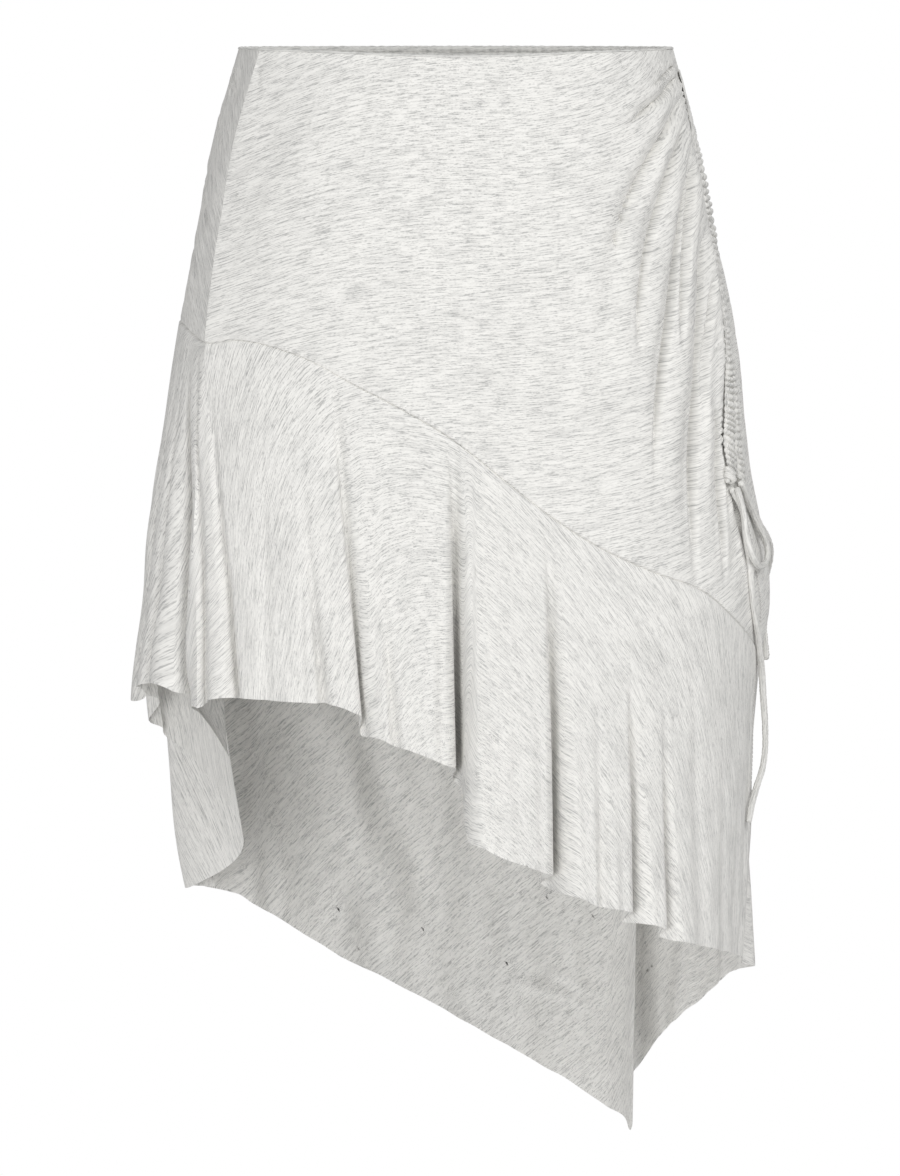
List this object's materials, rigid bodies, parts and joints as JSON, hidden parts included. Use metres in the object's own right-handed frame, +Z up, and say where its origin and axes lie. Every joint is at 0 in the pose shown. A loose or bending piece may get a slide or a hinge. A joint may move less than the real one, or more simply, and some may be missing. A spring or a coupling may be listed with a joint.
{
  "type": "asymmetric midi skirt",
  "caption": "Pull-on jersey skirt with a diagonal seam, a flounce whose raw hem falls longest at the back, and a gathered side seam tied with a soft cord.",
  "frame": {"origin": "the middle of the waist opening, where a waist holds the skirt up", "axes": "+Z up through the waist opening, -Y towards the front, +X towards the tied side"},
  "size_m": [0.4519, 0.305, 0.7776],
  "materials": {
    "jersey": "soft matt heather jersey, off-white with pale grey streaks",
    "drawstring": "soft matt tube of the same jersey"
  },
  "bodies": {
    "root": {"front_panel": "jersey", "back_panel": "jersey", "front_flounce": "jersey", "back_flounce": "jersey", "waist_turning": "jersey", "front_casing": "jersey", "back_casing": "jersey", "drawstring_knot": "drawstring", "drawstring_loop": "drawstring", "drawstring_long_end": "drawstring", "drawstring_short_end": "drawstring"}
  },
  "joints": []
}
